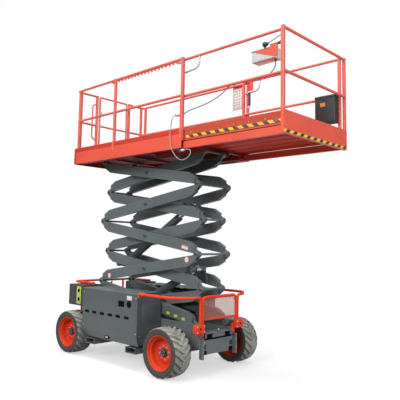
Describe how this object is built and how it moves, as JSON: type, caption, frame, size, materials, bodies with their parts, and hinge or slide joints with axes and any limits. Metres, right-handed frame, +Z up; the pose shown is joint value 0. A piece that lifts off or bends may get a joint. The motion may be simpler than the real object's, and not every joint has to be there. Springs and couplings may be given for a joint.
{
  "type": "scissor lift",
  "caption": "Self-propelled rough-terrain scissor lift with crossed lifting arms, side compartments and a railed platform with a roll-out deck.",
  "frame": {"origin": "Middle of the overall box in X and Y, on the ground that the wheels stand on (Z = 0).", "axes": "+X runs forward to the roll-out end of the platform, +Y to the machine's left, +Z up."},
  "size_m": [4.347, 1.75, 4.31],
  "materials": {
    "grey_paint": "grey satin paint",
    "pale_plastic": "pale grey moulded plastic",
    "orange_paint": "orange-red gloss paint, weathered",
    "black_plastic": "black plastic",
    "dark_steel": "dark paint",
    "chrome": "hard chrome plating",
    "rim_paint": "pale grey paint",
    "tyre": "black rubber"
  },
  "bodies": {
    "chassis": {"chassis_frame": "grey_paint", "fork_pocket_front": "dark_steel", "fork_pocket_rear": "dark_steel", "front_axle": "grey_paint", "front_guard": "orange_paint", "guard_screen": "dark_steel", "ladder": "grey_paint", "pod_tray_left": "dark_steel", "pod_tray_right": "dark_steel", "rear_axle": "grey_paint", "rear_cabinet_left": "dark_steel", "rear_cabinet_right": "dark_steel", "rear_guard": "orange_paint", "track_left": "grey_paint", "track_right": "grey_paint"},
    "knuckle_right": {"knuckle_right": "grey_paint"},
    "knuckle_left": {"knuckle_left": "grey_paint"},
    "hood_right": {"hood_right": "orange_paint"},
    "hood_left": {"hood_left": "orange_paint"},
    "wheel_front_right": {"tyre_front_right": "tyre", "rim_front_right": "rim_paint"},
    "wheel_front_left": {"tyre_front_left": "tyre", "rim_front_left": "rim_paint"},
    "wheel_rear_right": {"tyre_rear_right": "tyre", "rim_rear_right": "rim_paint"},
    "wheel_rear_left": {"tyre_rear_left": "tyre", "rim_rear_left": "rim_paint"},
    "inner_arms_1": {"inner_arms_1": "grey_paint"},
    "outer_arms_1": {"outer_arms_1": "grey_paint"},
    "inner_arms_2": {"inner_arms_2": "grey_paint"},
    "outer_arms_2": {"outer_arms_2": "grey_paint"},
    "inner_arms_3": {"inner_arms_3": "grey_paint"},
    "outer_arms_3": {"outer_arms_3": "grey_paint"},
    "inner_arms_4": {"inner_arms_4": "grey_paint"},
    "outer_arms_4": {"outer_arms_4": "grey_paint"},
    "inner_arms_5": {"inner_arms_5": "grey_paint"},
    "outer_arms_5": {"outer_arms_5": "grey_paint"},
    "lower_cylinder_barrel": {"lower_cylinder_barrel": "dark_steel"},
    "lower_cylinder_rod": {"lower_cylinder_rod": "chrome"},
    "upper_cylinder_barrel": {"upper_cylinder_barrel": "dark_steel"},
    "upper_cylinder_rod": {"upper_cylinder_rod": "chrome"},
    "gate": {"gate": "orange_paint"},
    "platform": {"deck_floor": "grey_paint", "deck_frame": "orange_paint", "deck_skirt_left": "orange_paint", "deck_skirt_right": "orange_paint", "rail_left": "orange_paint", "rail_right": "orange_paint", "rear_skirt": "orange_paint", "sign_board": "pale_plastic"},
    "extension": {"control_box": "pale_plastic", "document_box": "black_plastic", "extension_deck": "orange_paint", "extension_frame": "orange_paint", "extension_rail_front": "orange_paint", "extension_rail_left": "orange_paint", "extension_rail_right": "orange_paint"}
  },
  "joints": [
    {"name": "lift", "type": "hinge", "parent": "chassis", "child": "inner_arms_1", "pos_m": [-1.6595, 0, 0.64], "axis": [0, -1, 0], "range_deg": [-8.8, 41]},
    {"name": "cross_1", "type": "hinge", "parent": "inner_arms_1", "child": "outer_arms_1", "pos_m": [-0.5897, 0, 0.88502], "axis": [0, -1, 0], "range_deg": [-82, 17.6]},
    {"name": "outer_1_2", "type": "hinge", "parent": "outer_arms_1", "child": "outer_arms_2", "pos_m": [-1.6595, 0, 1.13003], "axis": [0, -1, 0], "range_deg": [-17.6, 82]},
    {"name": "outer_2_3", "type": "hinge", "parent": "outer_arms_2", "child": "outer_arms_3", "pos_m": [0.4801, 0, 1.62007], "axis": [0, -1, 0], "range_deg": [-82, 17.6]},
    {"name": "outer_3_4", "type": "hinge", "parent": "outer_arms_3", "child": "outer_arms_4", "pos_m": [-1.6595, 0, 2.1101], "axis": [0, -1, 0], "range_deg": [-17.6, 82]},
    {"name": "outer_4_5", "type": "hinge", "parent": "outer_arms_4", "child": "outer_arms_5", "pos_m": [0.4801, 0, 2.60014], "axis": [0, -1, 0], "range_deg": [-82, 17.6]},
    {"name": "cross_2", "type": "hinge", "parent": "outer_arms_2", "child": "inner_arms_2", "pos_m": [-0.5897, 0, 1.37505], "axis": [0, -1, 0], "range_deg": [-82, 17.6]},
    {"name": "cross_3", "type": "hinge", "parent": "outer_arms_3", "child": "inner_arms_3", "pos_m": [-0.5897, 0, 1.86509], "axis": [0, -1, 0], "range_deg": [-17.6, 82]},
    {"name": "cross_4", "type": "hinge", "parent": "outer_arms_4", "child": "inner_arms_4", "pos_m": [-0.5897, 0, 2.35512], "axis": [0, -1, 0], "range_deg": [-82, 17.6]},
    {"name": "cross_5", "type": "hinge", "parent": "outer_arms_5", "child": "inner_arms_5", "pos_m": [-0.5897, 0, 2.84515], "axis": [0, -1, 0], "range_deg": [-17.6, 82]},
    {"name": "platform_level", "type": "hinge", "parent": "outer_arms_5", "child": "platform", "pos_m": [-1.6595, 0, 3.09017], "axis": [0, -1, 0], "range_deg": [-8.8, 41]},
    {"name": "lower_cylinder_tilt", "type": "hinge", "parent": "chassis", "child": "lower_cylinder_barrel", "pos_m": [-1.4735, 0, 0.56], "axis": [0, -1, 0], "range_deg": [-8.71, 40.59]},
    {"name": "lower_cylinder_stroke", "type": "slide", "parent": "lower_cylinder_barrel", "child": "lower_cylinder_rod", "axis": [0.8931, 0, 0.4498], "range_m": [-0.1321, 0.6154]},
    {"name": "upper_cylinder_tilt", "type": "hinge", "parent": "inner_arms_2", "child": "upper_cylinder_barrel", "pos_m": [-1.45153, 0, 1.40829], "axis": [0, -1, 0], "range_deg": [-17.16, 79.95]},
    {"name": "upper_cylinder_stroke", "type": "slide", "parent": "upper_cylinder_barrel", "child": "upper_cylinder_rod", "axis": [0.8578, 0, 0.5141], "range_m": [-0.1997, 0.9303]},
    {"name": "steer_right", "type": "hinge", "parent": "chassis", "child": "knuckle_right", "pos_m": [0.3265, -0.5, 0.33], "axis": [0, 0, 1], "range_deg": [-26, 26]},
    {"name": "steer_left", "type": "hinge", "parent": "chassis", "child": "knuckle_left", "pos_m": [0.3265, 0.5, 0.33], "axis": [0, 0, 1], "range_deg": [-26, 26]},
    {"name": "spin_front_right", "type": "hinge", "parent": "knuckle_right", "child": "wheel_front_right", "pos_m": [0.3265, -0.725, 0.33], "axis": [0, 1, 0], "continuous": true},
    {"name": "spin_front_left", "type": "hinge", "parent": "knuckle_left", "child": "wheel_front_left", "pos_m": [0.3265, 0.725, 0.33], "axis": [0, 1, 0], "continuous": true},
    {"name": "spin_rear_right", "type": "hinge", "parent": "chassis", "child": "wheel_rear_right", "pos_m": [-1.8155, -0.725, 0.33], "axis": [0, 1, 0], "continuous": true},
    {"name": "spin_rear_left", "type": "hinge", "parent": "chassis", "child": "wheel_rear_left", "pos_m": [-1.8155, 0.725, 0.33], "axis": [0, 1, 0], "continuous": true},
    {"name": "hood_right_lid", "type": "hinge", "parent": "chassis", "child": "hood_right", "pos_m": [-0.6735, -0.385, 1.046], "axis": [-1, 0, 0], "range_deg": [0, 70]},
    {"name": "hood_left_lid", "type": "hinge", "parent": "chassis", "child": "hood_left", "pos_m": [-0.6735, 0.385, 1.046], "axis": [1, 0, 0], "range_deg": [0, 70]},
    {"name": "gate_swing", "type": "hinge", "parent": "platform", "child": "gate", "pos_m": [-1.9405, 0.346, 3.18], "axis": [0, 0, 1], "range_deg": [0, 90]},
    {"name": "deck_roll_out", "type": "slide", "parent": "platform", "child": "extension", "axis": [1, 0, 0], "range_m": [-1.52, 0]}
  ],
  "couplings": [
    {"joint": "cross_1", "follows": "lift", "ratio": -2},
    {"joint": "outer_1_2", "follows": "lift", "ratio": 2},
    {"joint": "outer_2_3", "follows": "lift", "ratio": -2},
    {"joint": "outer_3_4", "follows": "lift", "ratio": 2},
    {"joint": "outer_4_5", "follows": "lift", "ratio": -2},
    {"joint": "cross_2", "follows": "lift", "ratio": -2},
    {"joint": "cross_3", "follows": "lift", "ratio": 2},
    {"joint": "cross_4", "follows": "lift", "ratio": -2},
    {"joint": "cross_5", "follows": "lift", "ratio": 2},
    {"joint": "platform_level", "follows": "lift", "ratio": 1},
    {"joint": "lower_cylinder_tilt", "follows": "lift", "ratio": 0.99},
    {"joint": "lower_cylinder_stroke", "follows": "lift", "m_per_rad": 0.86},
    {"joint": "upper_cylinder_tilt", "follows": "lift", "ratio": 1.95},
    {"joint": "upper_cylinder_stroke", "follows": "lift", "m_per_rad": 1.3},
    {"joint": "steer_left", "follows": "steer_right", "ratio": 1}
  ]
}
